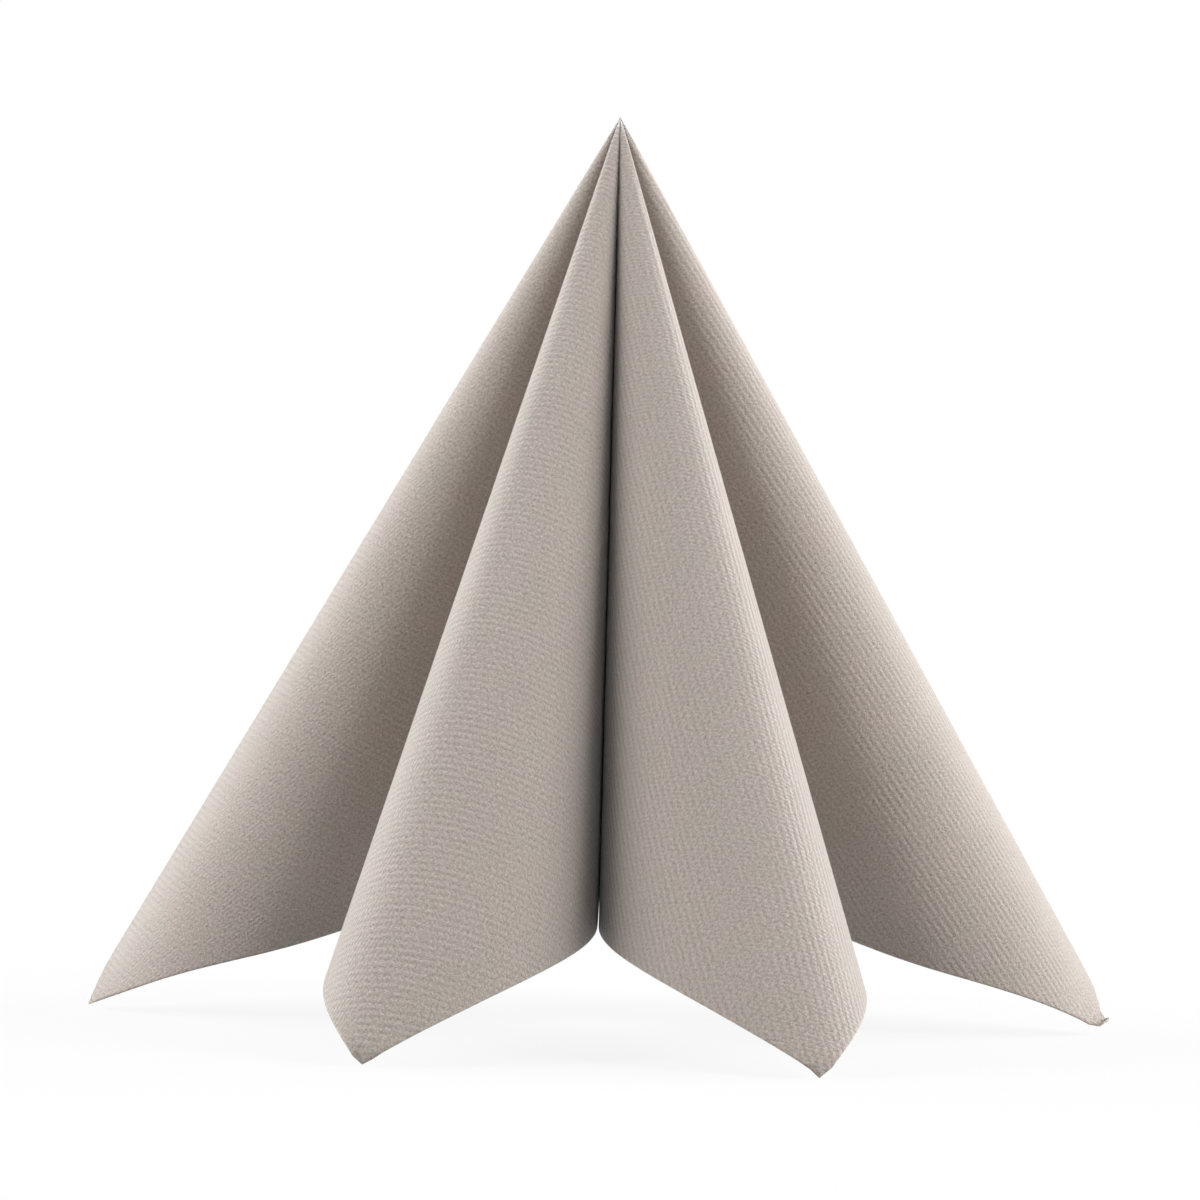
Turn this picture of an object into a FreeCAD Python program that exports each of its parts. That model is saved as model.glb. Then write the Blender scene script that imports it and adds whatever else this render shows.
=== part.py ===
import FreeCAD, Part
import math
import os

# One square paper napkin, opened to a single layer and stood up as a tent.
# The middle of the sheet is the apex. Every straight line drawn on the paper from
# the middle stays straight, so the tent is a cone over a folded closed line, and
# the four corners of the sheet are the four tips it stands on.
#
# Frame: +Z up, -Y is the front. The origin is on the table, at the middle of the
# tent's length and width.
# Lengths are in millimetres, angles in degrees.

# The sheet
sheet_side = 400.0
paper_thickness = 0.40

# How it stands: tilt of the four corner lines from the vertical, and the compass
# direction of the tips, counted from the front towards each side
tip_tilt = 29.3
inner_tip_azimuth = 21.8
outer_tip_azimuth = 92.9

# The bunched tip, where the layers lie on each other, and the least clear space
# between two layers of a pleat just below it
bunch_height = 45.0
pleat_clear = 0.20

# Half width of a fold's round end, against half the gap of its pleat
crease_round = 1.8

# Fold line of one half, as poles of a smooth curve. Each pole is the tilt of a line
# from the apex: to the side, and to the back.
front_mouth_tilt = 25.8
inner_lobe_front_tilt = (7.1, -26.9)
inner_lobe_side_tilt = (15.3, -23.7)
inner_lobe_flank_tilt = (14.2, -16.3)
inner_lobe_heel_tilt = (7.3, -6.0)
side_pleat_root_tilt = (5.5, 8.6)
outer_lobe_mouth_tilt = (12.2, -4.1)
outer_lobe_front_tilt = (15.6, -3.4)
outer_lobe_brow_tilt = (23.2, -3.0)
outer_lobe_heel_tilt = (30.2, 8.4)
back_wall_side_tilt = (24.0, 19.5)
back_wall_inner_tilt = (13.0, 26.5)

# Worked out from the sizes above
corner_reach = sheet_side / math.sqrt(2.0)
apex_height = corner_reach * math.cos(math.radians(tip_tilt))
pleat_half = math.degrees((paper_thickness + pleat_clear) / (2.0 * bunch_height))

# Widest flat strip of paper, and the most it turns to the next
strip_span_angle = 6.0
strip_turn_angle = 5.5

# Points measured along each quarter of the fold line
SAMPLES = 400


def tilt_point(tilt, azimuth):
    """Tilt to the side and to the back of a line with this tilt and azimuth."""
    a = math.radians(azimuth)
    return (tilt * math.sin(a), -tilt * math.cos(a))


def direction(x, y):
    """Unit vector of the line from the apex whose tilt is x to the side, y back."""
    tilt = math.hypot(x, y)
    if tilt < 1e-9:
        return FreeCAD.Vector(0, 0, -1)
    s = math.sin(math.radians(tilt)) / tilt
    return FreeCAD.Vector(x * s, y * s, -math.cos(math.radians(tilt)))


def fold_poles(free):
    """Poles of the fold line of one half, in four rows that each hold a quarter.

    The first row starts at the front crease. A row's first pole after it is a corner
    of the sheet or a mid-edge crease, and the last row ends at the back crease.
    """
    front_depth, side_depth, mouth_shift, back_tilt, inner_tip, outer_tip = free
    g = pleat_half
    x1, y1 = tilt_point(inner_tip, inner_tip_azimuth)
    x2, y2 = tilt_point(outer_tip, outer_tip_azimuth)
    rx, ry = side_pleat_root_tilt
    mx, my = outer_lobe_mouth_tilt
    # the way back out of the side pleat runs beside the way in
    hx, hy = inner_lobe_heel_tilt
    length = math.hypot(hx - rx, hy - ry)
    nx, ny = (ry - hy) / length, (hx - rx) / length
    ax, ay = (rx - hx) / length, (ry - hy) / length
    ex, ey = rx + ax * side_depth, ry + ay * side_depth
    w = 2.0 * g
    b = g * crease_round
    front_pleat = [
        (0.0, front_depth),
        (0.9 * b, front_depth),
        (b, front_depth - 1.2 * b),
        (b, front_depth - 5.0 * b),
        (g, front_depth / 3.0 - 4.0),
        (g, -front_mouth_tilt / 2.0 - 3.0),
        (g, -front_mouth_tilt),
        inner_lobe_front_tilt,
    ]
    inner_lobe = [
        (x1, y1),
        inner_lobe_side_tilt,
        inner_lobe_flank_tilt,
        inner_lobe_heel_tilt,
        (rx, ry),
        (ex - 4.0 * b * ax - nx * (b - g), ey - 4.0 * b * ay - ny * (b - g)),
        (ex - nx * (b - g), ey - ny * (b - g)),
    ]
    side_pleat = [
        (ex + nx * g + ax * b * 0.6, ey + ny * g + ay * b * 0.6),
        (ex + nx * (g + b), ey + ny * (g + b)),
        (ex - 4.0 * b * ax + nx * (g + b), ey - 4.0 * b * ay + ny * (g + b)),
        (rx + nx * w, ry + ny * w),
        (hx + nx * w, hy + ny * w),
        (mx - ax * mouth_shift, my - ay * mouth_shift),
        outer_lobe_front_tilt,
        outer_lobe_brow_tilt,
    ]
    outer_lobe = [
        (x2, y2),
        outer_lobe_heel_tilt,
        back_wall_side_tilt,
        back_wall_inner_tilt,
        (3.0, back_tilt),
        (0.0, back_tilt),
    ]
    return [front_pleat, inner_lobe, side_pleat, outer_lobe]


def fold_line(free):
    """Smooth fold line of one half, and where each quarter of it starts and ends."""
    rows = fold_poles(free)
    poles = [FreeCAD.Vector(x, y, 0) for row in rows for x, y in row]
    spans = len(poles) - 3
    curve = Part.BSplineCurve()
    knots = [i / spans for i in range(spans + 1)]
    mults = [4] + [1] * (spans - 1) + [4]
    curve.buildFromPolesMultsKnots(poles, mults, knots, False, 3)
    marks = [0.0]
    passed = 0
    for row in rows[:-1]:
        passed += len(row)
        marks.append((passed - 1.0) / spans)
    marks.append(1.0)
    return curve, marks


def measure(free):
    """Paper angle of each quarter of the half line, and the tilt at both corners."""
    curve, marks = fold_line(free)
    spans = []
    for a, b in zip(marks[:-1], marks[1:]):
        last = None
        total = 0.0
        for i in range(SAMPLES + 1):
            p = curve.value(a + (b - a) * i / (SAMPLES))
            u = direction(p.x, p.y)
            if last is not None:
                total += math.degrees(2.0 * math.asin(min(1.0, (u - last).Length / 2.0)))
            last = u
        spans.append(total)
    tilts = []
    for k in (1, 3):
        p = curve.value(marks[k])
        tilts.append(math.hypot(p.x, p.y))
    return spans + tilts


def settle():
    """Depths of the pleats for which every quarter holds 45 degrees of paper."""
    free = [12.0, 8.0, 0.0, 26.0, tip_tilt, tip_tilt]
    goal = [45.0, 45.0, 45.0, 45.0, tip_tilt, tip_tilt]
    order = [4, 5, 0, 1, 2, 3]
    for _ in range(14):
        for k in order:
            now = measure(free)
            trial = list(free)
            trial[k] += 0.05
            slope = (measure(trial)[k] - now[k]) / 0.05
            if slope:
                free[k] += max(-3.0, min(3.0, (goal[k] - now[k]) / slope))
        if max(abs(a - b) for a, b in zip(measure(free), goal)) < 1e-7:
            break
    return free


def stations(free):
    """Fold lines of the tent: paper angle and direction of each, front crease first.

    The curve is broken where it has turned or gone on far enough, so that each
    strip of paper between two lines is flat, and at every corner and mid-edge.
    """
    curve, marks = fold_line(free)
    half = []
    angle = 0.0
    last = curve.value(0.0)
    last = direction(last.x, last.y)
    heading = curve.tangent(0.0)[0]
    for quarter in range(4):
        a, b = marks[quarter], marks[quarter + 1]
        fine = []
        travel = 0.0
        for i in range(SAMPLES + 1):
            p = curve.value(a + (b - a) * i / SAMPLES)
            u = direction(p.x, p.y)
            step = math.degrees(2.0 * math.asin((u - last).Length / 2.0))
            now = curve.tangent(a + (b - a) * i / SAMPLES)[0]
            turn = math.degrees(heading.getAngle(now))
            travel += step / strip_span_angle + turn / strip_turn_angle
            angle += step
            fine.append((travel, angle, u))
            last = u
            heading = now
        strips = max(2, math.ceil(travel))
        kept = 0
        for reached, paper, u in fine[:-1]:
            if kept < strips and reached >= travel * kept / strips:
                half.append((paper, u))
                kept += 1
    half.append((180.0, last))
    mirrored = []
    for angle, u in reversed(half[1:-1]):
        mirrored.append((360.0 - angle, FreeCAD.Vector(-u.x, u.y, u.z)))
    return half + mirrored


def sheet_reach(angle):
    """Distance from the middle of the sheet to its edge, along this paper angle."""
    off = (angle + 45.0) % 90.0 - 45.0
    return sheet_side / 2.0 / math.cos(math.radians(off))


def skin_offsets(lines):
    """Half a thickness square to both strips that meet at each line."""
    count = len(lines)
    normals = []
    for i in range(count):
        normals.append(lines[i][1].cross(lines[(i + 1) % count][1]).normalize())
    offsets = []
    for i in range(count):
        a, b = normals[i - 1], normals[i]
        offsets.append((a + b) * (paper_thickness / 2.0 / (1.0 + a.dot(b))))
    return offsets


def rim_points(lines, offsets, side):
    """Lower edge of the outer (side 1) or inner (side -1) skin."""
    apex = FreeCAD.Vector(0, 0, apex_height)
    points = []
    for (angle, u), m in zip(lines, offsets):
        points.append(apex + u * sheet_reach(angle) + m * side)
    return points


def level_points(lines, offsets, side, depth):
    """Line of a skin on the level plane at this depth below the apex."""
    apex = FreeCAD.Vector(0, 0, apex_height)
    points = []
    for (angle, u), m in zip(lines, offsets):
        points.append(apex + u * (-(depth + m.z * side) / u.z) + m * side)
    return points


def band(lower, upper):
    """Flat four-sided faces between two closed rows of points."""
    faces = []
    for i in range(len(lower)):
        j = (i + 1) % len(lower)
        ring = [lower[i], lower[j], upper[j], upper[i], lower[i]]
        faces.append(Part.Face(Part.makePolygon(ring)))
    return faces


def rim_band(outer, inner):
    """The cut edge of the paper, two three-sided faces to each strip."""
    faces = []
    for i in range(len(outer)):
        j = (i + 1) % len(outer)
        for ring in ((outer[i], inner[i], inner[j]), (outer[i], inner[j], outer[j])):
            faces.append(Part.Face(Part.makePolygon(list(ring) + [ring[0]])))
    return faces


def point_band(ring, top):
    """Flat three-sided faces from a closed row of points to one point."""
    faces = []
    for i in range(len(ring)):
        corners = [ring[i], ring[(i + 1) % len(ring)], top, ring[i]]
        faces.append(Part.Face(Part.makePolygon(corners)))
    return faces


def make_napkin(free):
    """The folded sheet as one solid, with its closed tip."""
    lines = stations(free)
    offsets = skin_offsets(lines)
    apex = FreeCAD.Vector(0, 0, apex_height)
    outer_rim = rim_points(lines, offsets, 1)
    inner_rim = rim_points(lines, offsets, -1)
    outer_ring = level_points(lines, offsets, 1, bunch_height)
    inner_ring = level_points(lines, offsets, -1, bunch_height)
    faces = band(outer_rim, outer_ring)
    faces += band(inner_rim, inner_ring)
    faces += point_band(outer_ring, apex)
    faces += rim_band(outer_rim, inner_rim)
    faces.append(Part.Face(Part.makePolygon(inner_ring + [inner_ring[0]])))
    shell = Part.Shell(faces)
    shell.sewShape()
    solid = Part.Solid(shell)
    if solid.Volume < 0:
        solid.reverse()
    # the tips stand on the table, round the middle of the tent's length
    box = solid.BoundBox
    middle = (box.YMin + box.YMax) / 2.0
    return solid.translated(FreeCAD.Vector(0, -middle, -box.ZMin))


os.makedirs("parts", exist_ok=True)
napkin = make_napkin(settle())
napkin.exportStep("parts/napkin.step")
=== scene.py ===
import math

import bmesh
import bpy
import numpy as np
from mathutils import Matrix, Vector


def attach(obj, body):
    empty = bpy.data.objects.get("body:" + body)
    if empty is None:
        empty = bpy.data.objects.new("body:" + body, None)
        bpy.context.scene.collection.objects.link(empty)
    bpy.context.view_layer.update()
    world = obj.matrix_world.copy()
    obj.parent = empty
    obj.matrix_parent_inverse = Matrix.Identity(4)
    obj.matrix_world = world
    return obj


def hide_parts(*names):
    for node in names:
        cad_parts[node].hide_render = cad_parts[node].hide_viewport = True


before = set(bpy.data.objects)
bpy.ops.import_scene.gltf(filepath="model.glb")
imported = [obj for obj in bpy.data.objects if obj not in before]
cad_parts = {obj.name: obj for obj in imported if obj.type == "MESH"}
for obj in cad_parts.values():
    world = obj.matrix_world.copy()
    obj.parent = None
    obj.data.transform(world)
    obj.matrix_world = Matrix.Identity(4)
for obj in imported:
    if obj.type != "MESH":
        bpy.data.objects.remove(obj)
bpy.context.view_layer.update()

bl_info = {
    "name": "Tent-folded paper napkin",
    "version": (1, 0, 0),
    "blender": (4, 5, 0),
    "location": "3D View > Sidebar > Napkin",
    "description": "A square paper napkin with a fine pressed pattern, stood up as a tent",
    "category": "Add Mesh",
}

NODE = "napkin"
SHEET_UV = "sheet"
# the apex stands behind the middle of the tent's length
APEX_Y = 0.0075

# Fold line of one half of the tent. Each point is the tilt of one straight line of
# paper that runs down from the apex: degrees to the side, degrees to the back.
INNER_LOBE = ((4.9, -26.0), (15.3, -23.7), (14.2, -16.3), (7.3, -6.0))
SIDE_PLEAT_ROOT = (5.5, 8.6)
OUTER_LOBE = ((8.6, 1.6), (13.4, 4.8), (21.8, -3.4), (30.2, 10.5))
BACK_WALL = ((24.0, 19.5), (13.0, 26.5))
# Paper in each of the four quarters of one half, degrees round the middle of the sheet
QUARTER = 45.0
# Angle of a pleat's gap at the bunched tip, against the least one, near the hem
CLOSING = 6.0
# Width of a pleat's rounded end, against half its gap
ROUND_END = 1.8
# The four tips: spoke in degrees, length that bends, bend in degrees (outward is plus)
TIP_BENDS = ((45.0, 0.0035, -80.0), (135.0, 0.0045, 140.0), (225.0, 0.015, 17.0), (315.0, 0.004, -95.0))
# Table, metres: half its side, how white it is near the tent, and how far to full white
TABLE_HALF = 12.0
NEAR_WHITE = 0.86
WHITE_REACH = 0.9
# Lights, metres: places of the right-hand pair, the side of each lamp, and where all aim
RIM_LIGHT = (1.06, 0.61, 0.56)
SIDE_LIGHT = (1.10, -0.40, 0.69)
LAMP_SIZE = 0.8
LAMP_TARGET = (0.0, 0.0, 0.12)
# How strongly the rings of vertices crowd towards the hem, where the tips bend
RING_CROWDING = 1.5
# Pressed pattern, degrees on the flat sheet: across the ribs of the front and the back
# half, and from the ribs to the stitches; then the ribs' share of the relief
RIB_ANGLES = (139.0, 49.5)
STITCH_TURN = 100.2
RIB_SHARE = 0.72


class NapkinFold(bpy.types.PropertyGroup):
    """Size of the sheet and how it is folded"""

    sheet_side: bpy.props.FloatProperty(
        name="Sheet side", description="Side of the square sheet, laid flat",
        default=0.4, min=0.2, max=0.6, subtype="DISTANCE", unit="LENGTH")
    thickness: bpy.props.FloatProperty(
        name="Paper thickness", description="Thickness of the soft paper",
        default=0.0004, min=0.0001, max=0.002, subtype="DISTANCE", unit="LENGTH")
    tip_tilt: bpy.props.FloatProperty(
        name="Tip tilt", description="Tilt of the four corner lines from the vertical",
        default=math.radians(29.3), min=0.3, max=0.7, subtype="ANGLE", unit="ROTATION")
    inner_azimuth: bpy.props.FloatProperty(
        name="Inner tip direction", description="Direction of the two front tips, from the front",
        default=math.radians(21.8), min=0.2, max=0.8, subtype="ANGLE", unit="ROTATION")
    outer_azimuth: bpy.props.FloatProperty(
        name="Outer tip direction", description="Direction of the two outer tips, from the front",
        default=math.radians(94.4), min=1.0, max=2.0, subtype="ANGLE", unit="ROTATION")
    mouth_tilt: bpy.props.FloatProperty(
        name="Front pleat mouth", description="Tilt at which the two front lobes part",
        default=math.radians(25.8), min=0.1, max=0.5, subtype="ANGLE", unit="ROTATION")
    tip_gap: bpy.props.FloatProperty(
        name="Pleat gap", description="Between the middles of two layers of a pleat",
        default=0.0006, min=0.0004, max=0.003, subtype="DISTANCE", unit="LENGTH")
    bunch: bpy.props.FloatProperty(
        name="Bunched tip", description="Length of the tip where the layers lie on each other",
        default=0.045, min=0.01, max=0.1, subtype="DISTANCE", unit="LENGTH")
    spokes: bpy.props.IntProperty(
        name="Spokes", description="Lines of vertices from the middle of the sheet to its edge",
        default=720, min=80, max=1440)
    rings: bpy.props.IntProperty(
        name="Rings", description="Vertices along each spoke",
        default=48, min=8, max=96)


class NapkinPaper(bpy.types.PropertyGroup):
    """Colour and pressed pattern of the paper"""

    colour: bpy.props.FloatVectorProperty(
        name="Paper", description="Colour of the paper", subtype="COLOR", size=3,
        default=(0.378, 0.331, 0.298), min=0.0, max=1.0)
    rib_pitch: bpy.props.FloatProperty(
        name="Rib pitch", description="From one pressed rib to the next",
        default=0.001785, min=0.0005, max=0.005, subtype="DISTANCE", unit="LENGTH")
    stitch_pitch: bpy.props.FloatProperty(
        name="Stitch pitch", description="From one dimple to the next along the ribs",
        default=0.00118, min=0.0005, max=0.005, subtype="DISTANCE", unit="LENGTH")
    rib_height: bpy.props.FloatProperty(
        name="Rib height", description="From the bottom to the top of the pressed pattern",
        default=0.00018, min=0.0, max=0.0005, subtype="DISTANCE", unit="LENGTH")


class NapkinStage(bpy.types.PropertyGroup):
    """Table, light and camera"""

    lens: bpy.props.FloatProperty(
        name="Lens", description="Focal length on a 36 mm sensor",
        default=84.0, min=20.0, max=200.0, subtype="DISTANCE_CAMERA")
    camera_place: bpy.props.FloatVectorProperty(
        name="Camera place", description="Where the camera stands, from the tent's apex line",
        default=(0.0067, -0.7571, 0.0635), size=3, subtype="TRANSLATION", unit="LENGTH")
    camera_turn: bpy.props.FloatVectorProperty(
        name="Camera turn", description="Pitch up, roll and turn to the left",
        default=(math.radians(3.84), math.radians(1.427), math.radians(0.68)),
        size=3, subtype="EULER", unit="ROTATION")
    rim_power: bpy.props.FloatProperty(
        name="Rim lights", description="Power of the left light that stands to the side and behind",
        default=18.0, min=0.0, unit="POWER")
    side_power: bpy.props.FloatProperty(
        name="Side lights", description="Power of the left light that stands to the side and in front",
        default=17.2, min=0.0, unit="POWER")
    right_level: bpy.props.FloatProperty(
        name="Right-hand level", description="Power of the right-hand lights as a share of the left's",
        default=1.12, min=0.0, max=4.0)
    ambient: bpy.props.FloatProperty(
        name="Room light", description="Strength of the light from all round",
        default=0.02, min=0.0, max=2.0)


# Fold line

def tilt_point(tilt, azimuth):
    """Side and back tilt, in degrees, of a line with this tilt and compass direction."""
    return math.degrees(tilt) * math.sin(azimuth), -math.degrees(tilt) * math.cos(azimuth)


def fold_rows(fold, half_gap, free):
    """Poles of the fold line from the front crease to the back, a row to each quarter."""
    front_depth, side_depth, mouth_shift, back_tilt, inner_tip, outer_tip = free
    inner = tilt_point(inner_tip, fold.inner_azimuth)
    outer = tilt_point(outer_tip, fold.outer_azimuth)
    mouth = math.degrees(fold.mouth_tilt)
    root, heel = np.array(SIDE_PLEAT_ROOT), np.array(INNER_LOBE[3])
    along = (root - heel) / np.linalg.norm(root - heel)
    across = np.array((along[1], -along[0]))
    end = root + along * side_depth
    round_end = ROUND_END * half_gap
    step = across * (round_end - half_gap)
    back_step = across * (round_end + half_gap)
    neck = end - along * 4.0 * round_end
    front_pleat = [
        (0.0, front_depth),
        (0.9 * round_end, front_depth),
        (round_end, front_depth - 1.2 * round_end),
        (round_end, front_depth - 5.0 * round_end),
        (half_gap, front_depth / 3.0 - 4.0),
        (half_gap, -mouth / 2.0 - 3.0),
        (half_gap, 8.0 - mouth),
        (1.1, 4.0 - mouth),
        INNER_LOBE[0],
    ]
    inner_lobe = [inner, *INNER_LOBE[1:], root, neck - step, end - step]
    side_pleat = [
        end + across * half_gap + along * round_end * 0.6,
        end + back_step,
        neck + back_step,
        root + across * 2.0 * half_gap,
        heel + across * 2.0 * half_gap,
        np.array(OUTER_LOBE[0]) - along * mouth_shift,
        *OUTER_LOBE[1:3],
    ]
    outer_lobe = [outer, OUTER_LOBE[3], *BACK_WALL, (3.0, back_tilt), (0.0, back_tilt)]
    return [np.array(row, float) for row in (front_pleat, inner_lobe, side_pleat, outer_lobe)]


def smooth_line(poles, places):
    """Points of the smooth curve over these poles, at places from 0 to 1."""
    spans = len(poles) - 3
    knots = np.concatenate([np.zeros(3), np.arange(spans + 1.0), np.full(3, float(spans))])
    x = np.clip(places * spans, 0.0, spans - 1e-9)
    share = ((knots[:-1, None] <= x) & (x < knots[1:, None])).astype(float)
    for degree in (1, 2, 3):
        width = knots[degree:] - knots[:-degree]
        inverse = np.where(width > 0, 1.0 / np.where(width > 0, width, 1.0), 0.0)
        rise = (x - knots[:-degree, None]) * inverse[:, None]
        share = rise[:-1] * share[:-1] + (1.0 - rise[1:]) * share[1:] * (inverse[1:, None] > 0)
    return share.T @ poles


def directions(tilts):
    """Unit vectors of the lines from the apex that have these tilts."""
    tilt = np.linalg.norm(tilts, axis=-1)
    share = np.sin(np.radians(tilt)) / np.maximum(tilt, 1e-9)
    return np.stack([tilts[..., 0] * share, tilts[..., 1] * share, -np.cos(np.radians(tilt))], -1)


def measure(fold, half_gap, free, samples=400):
    """Tilts along one half, the paper angle of each, and where the quarters end."""
    rows = fold_rows(fold, half_gap, free)
    spans = sum(map(len, rows)) - 3
    marks = [0.0] + [(n - 1.0) / spans for n in np.cumsum([len(r) for r in rows[:-1]])] + [1.0]
    places = np.concatenate([np.linspace(a, b, samples, endpoint=False)
                             for a, b in zip(marks[:-1], marks[1:])] + [[1.0]])
    tilts = smooth_line(np.concatenate(rows), places)
    lines = directions(tilts)
    steps = 2.0 * np.arcsin(np.linalg.norm(np.diff(lines, axis=0), axis=1) / 2.0)
    return tilts, np.concatenate([[0.0], np.degrees(np.cumsum(steps))]), samples


def settle(fold, half_gap):
    """Depths of the pleats for which each quarter of the half holds its share of paper."""
    tip = math.degrees(fold.tip_tilt)
    free = [12.0, 8.0, 0.0, 26.0, fold.tip_tilt, fold.tip_tilt]
    goal = np.array([QUARTER] * 4 + [tip] * 2)

    def state(values):
        tilts, paper, count = measure(fold, half_gap, values)
        tip_tilts = np.linalg.norm(tilts[[count, 3 * count]], axis=1)
        return np.concatenate([np.diff(paper[::count]), tip_tilts])

    # the tips' tilts first, then the depths from the front to the back
    for _ in range(14):
        for k in (4, 5, 0, 1, 2, 3):
            nudge = 0.001 if k > 3 else 0.05
            now = state(free)
            trial = list(free)
            trial[k] += nudge
            slope = (state(trial)[k] - now[k]) / nudge
            limit = 0.05 if k > 3 else 3.0
            free[k] += float(np.clip((goal[k] - now[k]) / slope, -limit, limit))
        if np.abs(state(free) - goal).max() < 1e-6:
            return free
    raise RuntimeError("the fold doesn't hold the whole sheet")


def tilt_table(fold, half_gap):
    """Tilt of the paper for each spoke of the sheet, all the way round."""
    tilts, paper, _ = measure(fold, half_gap, settle(fold, half_gap), samples=1600)
    angle = np.degrees(np.arange(fold.spokes) * 2.0 * math.pi / fold.spokes)
    near = np.where(angle > 180.0, 360.0 - angle, angle)
    side = np.where(angle > 180.0, -1.0, 1.0)
    return np.stack([side * np.interp(near, paper, tilts[:, 0]),
                     np.interp(near, paper, tilts[:, 1])], -1)


def folded(fold, reach, spoke):
    """Places of the sheet's points once folded, the apex at the origin.

    reach is each point's distance from the middle of the sheet, spoke its line. The
    pleats close up from the bunched tip to the hem.
    """
    half = math.degrees(fold.tip_gap / 2.0 / fold.bunch)
    near_rim = half / CLOSING
    wide, tight = tilt_table(fold, half), tilt_table(fold, near_rim)
    gap = np.clip(np.degrees(fold.tip_gap / 2.0 / np.maximum(reach, 1e-6)), near_rim, half)
    share = ((gap - near_rim) / (half - near_rim))[:, None]
    tilts = wide[spoke] * share + tight[spoke] * (1.0 - share)
    return directions(tilts) * reach[:, None]


def sheet_mesh(fold):
    """Flat square sheet as spokes and rings round its middle, with its flat plan as UVs."""
    bm = bmesh.new()
    half = fold.sheet_side / 2.0
    first = bm.verts.new((0.0, 0.0, 0.0))
    last = bm.verts.new((half, 0.0, 0.0))
    line = bm.edges.new((first, last))
    bmesh.ops.subdivide_edges(bm, edges=[line], cuts=fold.rings - 1)
    bmesh.ops.spin(bm, geom=bm.verts[:] + bm.edges[:], cent=(0, 0, 0), axis=(0, 0, 1),
                   angle=2.0 * math.pi, steps=fold.spokes, use_merge=True)
    bmesh.ops.remove_doubles(bm, verts=bm.verts[:], dist=half * 1e-6)
    # the rings grow from a circle to the square, and crowd towards its rim
    for v in bm.verts:
        part = min(v.co.length / half, 1.0)
        if part > 0.0:
            v.co *= (1.0 - (1.0 - part) ** RING_CROWDING) / part
        off = (math.atan2(v.co.y, v.co.x) + math.pi / 4) % (math.pi / 2) - math.pi / 4
        v.co *= 1.0 / math.cos(off)
    bmesh.ops.recalc_face_normals(bm, faces=bm.faces[:])
    plan = bm.loops.layers.uv.new(SHEET_UV)
    for face in bm.faces:
        for loop in face.loops:
            loop[plan].uv = loop.vert.co.xy / fold.sheet_side + Vector((0.5, 0.5))
    return bm


def bend_tips(fold, places, reach, turn):
    """Bends the four tips out of the straight, each over its last few millimetres."""
    corner_reach = fold.sheet_side / math.sqrt(2.0)
    for spoke, length, bend in TIP_BENDS:
        off = (turn - math.radians(spoke) + math.pi) % (2.0 * math.pi) - math.pi
        along = reach * np.cos(off)
        tip = int(np.argmin(np.abs(off) + np.abs(reach - corner_reach)))
        line = places[tip] / corner_reach
        beside = int(np.argmin(np.abs(off - 0.03) + (reach < fold.sheet_side / 2.0)))
        out = np.cross(line, places[beside])
        out /= np.linalg.norm(out) * math.copysign(1.0, out[:2] @ line[:2])
        over = np.where(np.cos(off) > 0.7, np.maximum(along - corner_reach + length, 0.0), 0.0)
        # a negative radius bends the tip towards the inside of the tent
        radius = length / math.radians(bend)
        places = (places + line * (radius * np.sin(over / radius) - over)[:, None]
                  + out * (radius * (1.0 - np.cos(over / radius)))[:, None])
    return places


def fold_sheet(bm, fold):
    """Moves the flat sheet's vertices to where the fold brings them."""
    flat = np.array([v.co for v in bm.verts])
    reach = np.linalg.norm(flat[:, :2], axis=1)
    turn = np.arctan2(flat[:, 1], flat[:, 0]) % (2.0 * math.pi)
    spoke = np.round(turn / (2.0 * math.pi) * fold.spokes).astype(int) % fold.spokes
    places = bend_tips(fold, folded(fold, reach, spoke), reach, turn)
    apex = Vector((0.0, APEX_Y, fold.thickness / 2.0 - places[:, 2].min()))
    for v, place in zip(bm.verts, places):
        v.co = apex + Vector(place)


def finish_piece(bm, name, material, thickness):
    """Object of the mesh, given its material, body and paper thickness."""
    mesh = bpy.data.meshes.new(name)
    bm.to_mesh(mesh)
    bm.free()
    mesh.shade_smooth()
    mesh.materials.append(material)
    piece = bpy.data.objects.new(name, mesh)
    bpy.context.scene.collection.objects.link(piece)
    wall = piece.modifiers.new("thickness", "SOLIDIFY")
    wall.thickness = thickness
    wall.offset = 0.0
    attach(piece, "root")
    return piece


# Materials

class Sock:
    """A node's output, or a number, that adds Math nodes as it is worked with."""

    def __init__(self, tree, value):
        self.tree, self.value = tree, value

    def _math(self, operation, *others, first=None):
        inputs = [self if first is None else first, *others]
        return self.tree.node("ShaderNodeMath", {"operation": operation}, dict(enumerate(inputs)))

    def __add__(self, other): return self._math("ADD", other)
    def __radd__(self, other): return self._math("ADD", other)
    def __sub__(self, other): return self._math("SUBTRACT", other)
    def __rsub__(self, other): return self._math("SUBTRACT", self, first=other)
    def __mul__(self, other): return self._math("MULTIPLY", other)
    def __rmul__(self, other): return self._math("MULTIPLY", other)
    def __truediv__(self, other): return self._math("DIVIDE", other)

    def output(self, name):
        """Another output of the node that this one comes from."""
        return Sock(self.tree, self.value.node.outputs[name])

    def above(self, edge): return self._math("GREATER_THAN", edge)
    def cosine(self): return self._math("COSINE")
    def clamp(self): return self.tree.node("ShaderNodeClamp", {}, {"Value": self})


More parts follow.
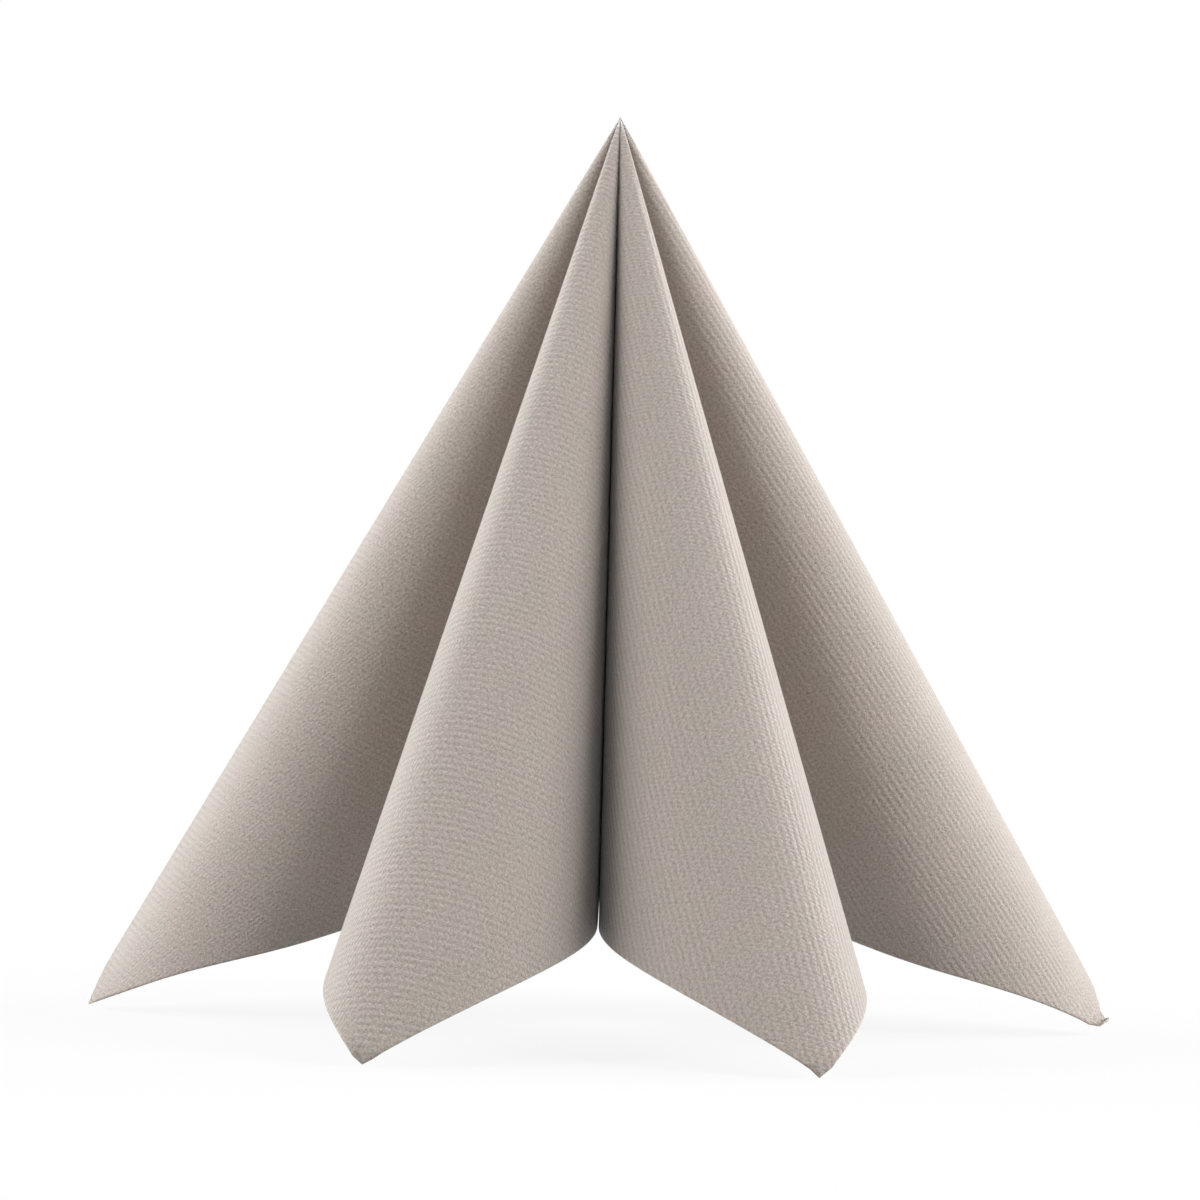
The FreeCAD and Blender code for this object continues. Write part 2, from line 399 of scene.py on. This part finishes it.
class Tree:
    """Shader nodes of one material or world."""

    def __init__(self, owner):
        owner.use_nodes = True
        self.nodes, self.links = owner.node_tree.nodes, owner.node_tree.links
        self.nodes.clear()

    def node(self, kind, settings, inputs, output=0):
        """Adds a node, sets it up, fills its sockets, and gives one of its outputs."""
        made = self.nodes.new(kind)
        for key, value in settings.items():
            if key == "stops":
                self._ramp(made.color_ramp, value)
            else:
                setattr(made, key, value)
        for key, value in inputs.items():
            if isinstance(value, Sock):
                self.links.new(value.value, made.inputs[key])
            else:
                made.inputs[key].default_value = value
        return Sock(self, made.outputs[output])

    @staticmethod
    def _ramp(ramp, stops):
        while len(ramp.elements) < len(stops):
            ramp.elements.new(1.0)
        for element, (place, colour) in zip(ramp.elements, stops):
            element.position, element.color = place, colour

    def finish(self, kind, surface):
        """Links the surface to the material's or world's output."""
        self.links.new(surface.value, self.nodes.new(kind).inputs["Surface"])


def mix_colour(tree, share, first, second, blend="MIX"):
    """One colour laid over another by a share."""
    return tree.node("ShaderNodeMix", {"data_type": "RGBA", "blend_type": blend},
                     {0: share, 6: first, 7: second}, output=2)


def wave(x, y, pitch, angle):
    """Ridges and furrows, from -1 to 1, whose crests are a pitch apart along an angle."""
    turn = 2.0 * math.pi / pitch
    return (x * (turn * math.cos(angle)) + y * (turn * math.sin(angle))).cosine()


def pressed_pattern(paper, x, y):
    """Height, from -1 to 1, of ribs crossed by a finer wave, as rollers press them.

    x and y are metres on the flat sheet. The pattern of the front half lies a
    quarter turn from that of the back half.
    """
    halves = []
    for rib_angle in map(math.radians, RIB_ANGLES):
        slant = rib_angle + math.radians(STITCH_TURN)
        ribs = Vector((math.cos(rib_angle), math.sin(rib_angle))) / paper.rib_pitch
        stitches = ribs + Vector((math.cos(slant), math.sin(slant))) / paper.stitch_pitch
        fine = wave(x, y, 1.0 / stitches.length, math.atan2(stitches.y, stitches.x))
        coarse = wave(x, y, paper.rib_pitch, rib_angle)
        halves.append(coarse * RIB_SHARE + fine * (1.0 - RIB_SHARE))
    front = x.above(0.0)
    return halves[0] * front + halves[1] * (1.0 - front)


def paper_material(paper):
    """Soft matt paper: pressed ribs, felted fibres and a faint cloudy colour."""
    material = bpy.data.materials.new("soft_paper")
    tree = Tree(material)
    plan = tree.node("ShaderNodeUVMap", {"uv_map": SHEET_UV}, {})
    axes = tree.node("ShaderNodeSeparateXYZ", {}, {0: plan})
    side = bpy.context.scene.napkin_fold.sheet_side

    def noise(scale, detail=2.0, rough=0.5):
        """Noise over the flat sheet, with this many cells to a metre of paper."""
        return tree.node("ShaderNodeTexNoise", {}, {
            "Vector": plan, "Scale": scale * side, "Detail": detail, "Roughness": rough})

    fibres = noise(2600.0, 3.0, 0.6)
    felt = noise(1300.0)
    worn = noise(110.0)
    tint = noise(90.0)
    cloud = noise(38.0, 3.0)
    # the felt pulls the pattern's lines about, and where it is worn they are fainter
    x = (axes.output("X") - 0.5) * side + (felt - 0.5) * 0.0006
    y = (axes.output("Y") - 0.5) * side + (fibres - 0.5) * 0.0005
    height = pressed_pattern(paper, x, y) * (worn * 1.4 + 0.3)

    def tinted(*shares):
        return tuple(part * share for part, share in zip(paper.colour, shares)) + (1.0,)

    mauve, olive = tinted(1.035, 0.975, 0.985), tinted(0.975, 1.01, 0.965)
    patches = tree.node("ShaderNodeValToRGB", {"stops": [
        (0.35, (0, 0, 0, 1)), (0.65, (1, 1, 1, 1))]}, {0: tint})
    colour = mix_colour(tree, patches, mauve, olive)
    colour = mix_colour(tree, 0.5, colour, tinted(1.0, 1.0, 1.0))
    # the colour is a little darker in the pressed pattern's valleys, which is painted shade there; the
    # felt, fibres and clouds give the paper's own uneven tone
    level = (height * 0.05 + (felt - 0.5) * 0.95 + (fibres - 0.5) * 0.85
             + (cloud - 0.5) * 0.10 + 1.0)
    mottle_and_valley_shade = tree.node("ShaderNodeCombineColor", {}, {0: level, 1: level, 2: level})
    colour = mix_colour(tree, 1.0, colour, mottle_and_valley_shade, "MULTIPLY")
    # relief in millimetres
    relief = (height * (paper.rib_height * 1000.0 / 2.0) + (felt - 0.5) * 0.26
              + (fibres - 0.5) * 0.16)
    normal = tree.node("ShaderNodeBump", {}, {"Strength": 1.0, "Distance": 0.001, "Height": relief})
    surface = tree.node("ShaderNodeBsdfPrincipled", {}, {
        "Base Color": colour, "Roughness": 0.9 + (fibres - 0.5) * 0.1,
        "Specular IOR Level": 0.25, "Sheen Weight": 0.7, "Sheen Roughness": 0.5,
        "Normal": normal})
    tree.finish("ShaderNodeOutputMaterial", surface)
    return material


def studio_white(tree, shine, share, other):
    """White, by this share, where the camera sees it straight, through glass or off gloss."""
    path = tree.node("ShaderNodeLightPath", {}, {})
    seen = path.output("Is Camera Ray") + path.output("Is Glossy Ray") + path.output("Is Transmission Ray")
    white = tree.node(shine, {}, {"Color": (1, 1, 1, 1), "Strength": 1.0})
    return tree.node("ShaderNodeMixShader", {}, {0: seen.clamp() * share, 1: other, 2: white})


class NAPKIN_OT_sheet(bpy.types.Operator):
    """Folds the square sheet of paper into the tent"""

    bl_idname = "napkin.sheet"
    bl_label = "Folded sheet"

    def execute(self, context):
        fold, paper = context.scene.napkin_fold, context.scene.napkin_paper
        bm = sheet_mesh(fold)
        fold_sheet(bm, fold)
        piece = finish_piece(bm, "folded_sheet", paper_material(paper), fold.thickness)
        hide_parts(NODE)
        return {"FINISHED"}


class NAPKIN_OT_stage(bpy.types.Operator):
    """Sets the white table, the soft lights and the camera"""

    bl_idname = "napkin.stage"
    bl_label = "Table, light and camera"

    def execute(self, context):
        stage = context.scene.napkin_stage
        self.table()
        self.world(context.scene, stage)
        for name, side, level in (("left", -1.0, 1.0), ("right", 1.0, stage.right_level)):
            self.lamp("rim_light_" + name, RIM_LIGHT, side, stage.rim_power * level)
            self.lamp("side_light_" + name, SIDE_LIGHT, side, stage.side_power * level)
        self.camera(context.scene, stage)
        context.scene.view_settings.view_transform = "Standard"
        return {"FINISHED"}

    @staticmethod
    def table():
        """A wide pale table top that fades to white away from the tent."""
        bm = bmesh.new()
        bmesh.ops.create_grid(bm, x_segments=1, y_segments=1, size=TABLE_HALF)
        mesh = bpy.data.meshes.new("table_top")
        bm.to_mesh(mesh)
        bm.free()
        top = bpy.data.objects.new("table_top", mesh)
        bpy.context.scene.collection.objects.link(top)
        material = bpy.data.materials.new("white_table")
        tree = Tree(material)
        place = tree.node("ShaderNodeTexCoord", {}, {}, output="Object")
        away = tree.node("ShaderNodeVectorMath", {"operation": "LENGTH"}, {0: place}, output="Value")
        matt = tree.node("ShaderNodeBsdfPrincipled", {}, {
            "Base Color": (0.6, 0.6, 0.6, 1), "Roughness": 0.9, "Specular IOR Level": 0.1})
        share = NEAR_WHITE + (away / WHITE_REACH).clamp() * (1.0 - NEAR_WHITE)
        tree.finish("ShaderNodeOutputMaterial", studio_white(tree, "ShaderNodeEmission", share, matt))
        mesh.materials.append(material)

    @staticmethod
    def world(scene, stage):
        """Faint even light from all round, and a white ground."""
        world = bpy.data.worlds.new("studio")
        scene.world = world
        tree = Tree(world)
        room = tree.node("ShaderNodeBackground", {}, {
            "Color": (1, 1, 1, 1), "Strength": stage.ambient})
        tree.finish("ShaderNodeOutputWorld", studio_white(tree, "ShaderNodeBackground", 1.0, room))

    @staticmethod
    def lamp(name, place, side, power):
        """A square soft light on this side, aimed at the middle of the tent."""
        data = bpy.data.lights.new(name, "AREA")
        data.shape = "SQUARE"
        data.size = LAMP_SIZE
        data.energy = power
        lamp = bpy.data.objects.new(name, data)
        bpy.context.scene.collection.objects.link(lamp)
        place = Vector((side * place[0], place[1], place[2]))
        turn = (Vector(LAMP_TARGET) - place).to_track_quat("-Z", "Y")
        lamp.matrix_world = Matrix.Translation(place) @ turn.to_matrix().to_4x4()

    @staticmethod
    def camera(scene, stage):
        """The camera, placed from the line of the tent's apex."""
        data = bpy.data.cameras.new("camera")
        data.sensor_width = 36.0
        data.lens = stage.lens
        data.clip_end = 50.0
        camera = bpy.data.objects.new("camera", data)
        scene.collection.objects.link(camera)
        pitch, roll, turn = stage.camera_turn
        camera.matrix_world = (
            Matrix.Translation(Vector(stage.camera_place) + Vector((0.0, APEX_Y, 0.0)))
            @ Matrix.Rotation(turn, 4, "Z")
            @ Matrix.Rotation(math.pi / 2 + pitch, 4, "X")
            @ Matrix.Rotation(roll, 4, "Z"))
        scene.camera = camera


class NAPKIN_PT_panel(bpy.types.Panel):
    """Lists the napkin's sizes and pieces"""

    bl_idname = "NAPKIN_PT_panel"
    bl_label = "Paper napkin"
    bl_space_type = "VIEW_3D"
    bl_region_type = "UI"
    bl_category = "Napkin"

    def draw(self, context):
        for group, operator in (("napkin_fold", None), ("napkin_paper", "napkin.sheet"),
                                ("napkin_stage", "napkin.stage")):
            settings = getattr(context.scene, group)
            box = self.layout.box()
            for name in settings.__annotations__:
                box.prop(settings, name)
            if operator:
                box.operator(operator)


GROUPS = {"napkin_fold": NapkinFold, "napkin_paper": NapkinPaper, "napkin_stage": NapkinStage}
CLASSES = [*GROUPS.values(), NAPKIN_OT_sheet, NAPKIN_OT_stage, NAPKIN_PT_panel]


def register():
    """Adds the classes and the scene's settings."""
    for item in CLASSES:
        bpy.utils.register_class(item)
    for name, group in GROUPS.items():
        setattr(bpy.types.Scene, name, bpy.props.PointerProperty(type=group))


def unregister():
    """Takes them away again."""
    for name in GROUPS:
        delattr(bpy.types.Scene, name)
    for item in reversed(CLASSES):
        bpy.utils.unregister_class(item)


def main():
    """Makes the napkin and its stage."""
    register()
    bpy.ops.napkin.stage()
    bpy.ops.napkin.sheet()


if __name__ == "__main__":
    main()
